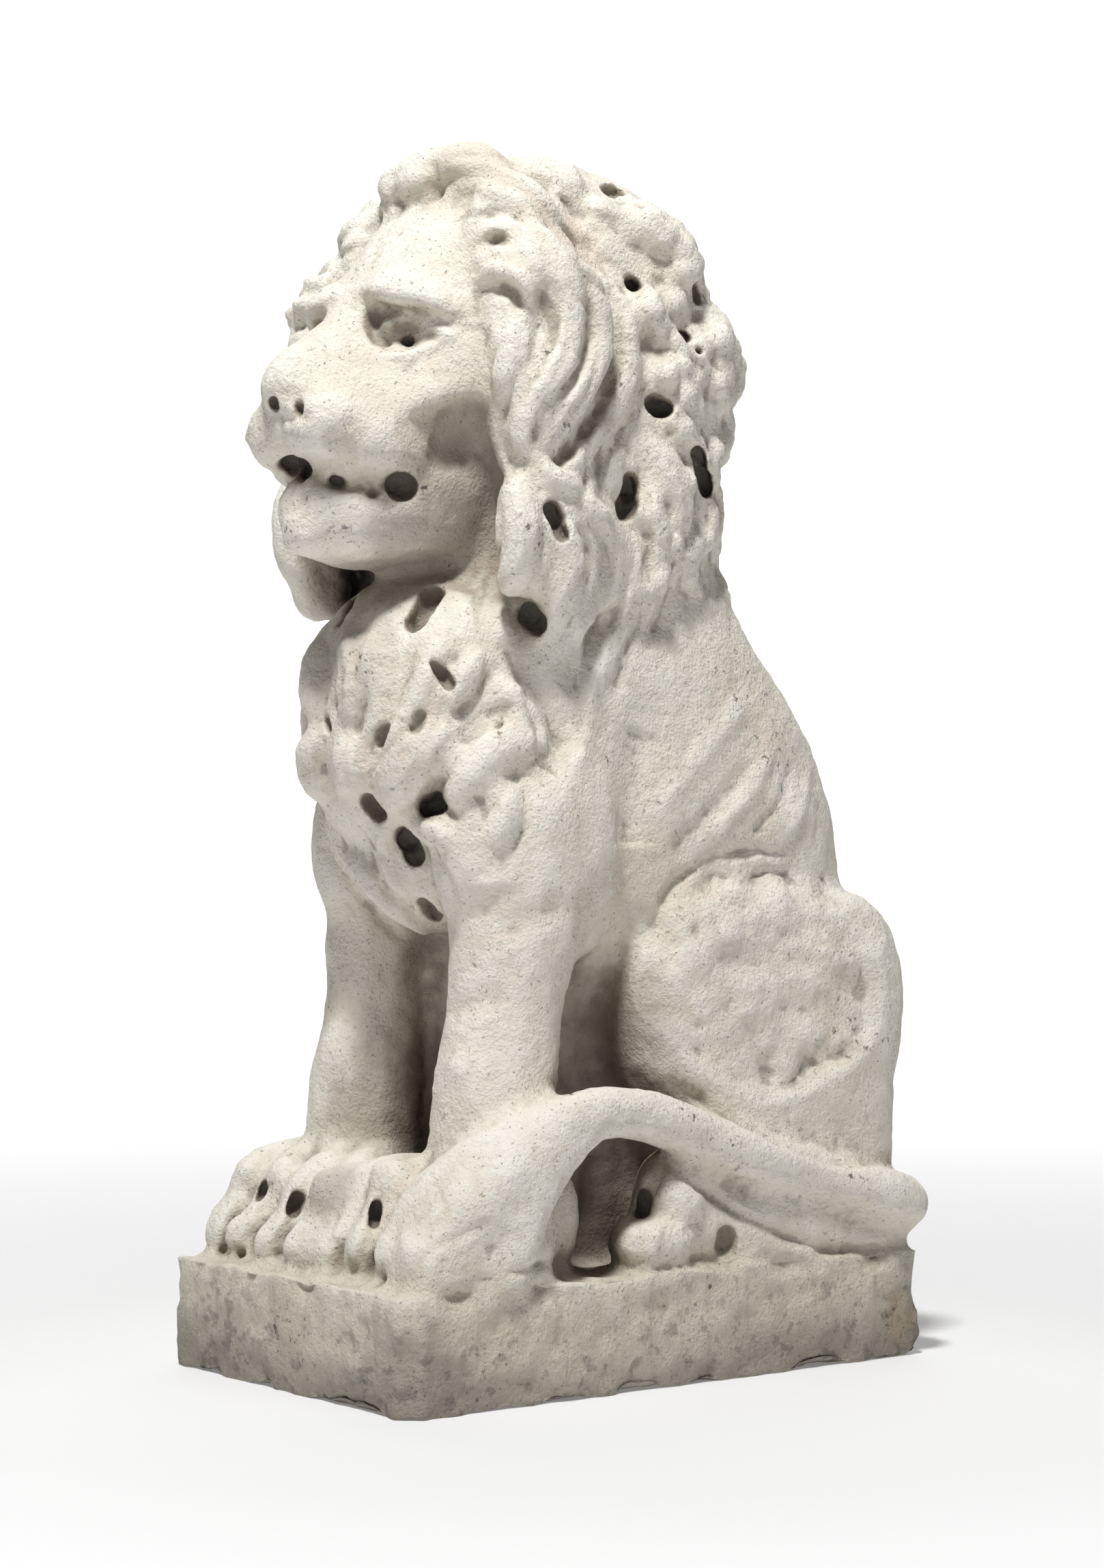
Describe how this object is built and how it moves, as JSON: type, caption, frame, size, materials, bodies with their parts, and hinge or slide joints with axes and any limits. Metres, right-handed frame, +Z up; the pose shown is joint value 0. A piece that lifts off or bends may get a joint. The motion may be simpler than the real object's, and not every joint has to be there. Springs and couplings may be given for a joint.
{
  "type": "sitting lion statue",
  "caption": "Weathered stone lion sitting upright on its own plinth, with a drilled curly mane and a tail that arches over one hind paw.",
  "frame": {"origin": "middle of the plinth's flat underside", "axes": "+Z up, -Y the way the lion looks, +X towards its left side, where the tail lies"},
  "size_m": [0.3196, 0.5206, 0.899],
  "materials": {
    "weathered_stone": "pale cream limestone, weathered and pitted, with warm stains, grey dirt low on the plinth and dark soot in the drilled hollows"
  },
  "bodies": {
    "root": {"seated_lion": "weathered_stone"}
  },
  "joints": []
}
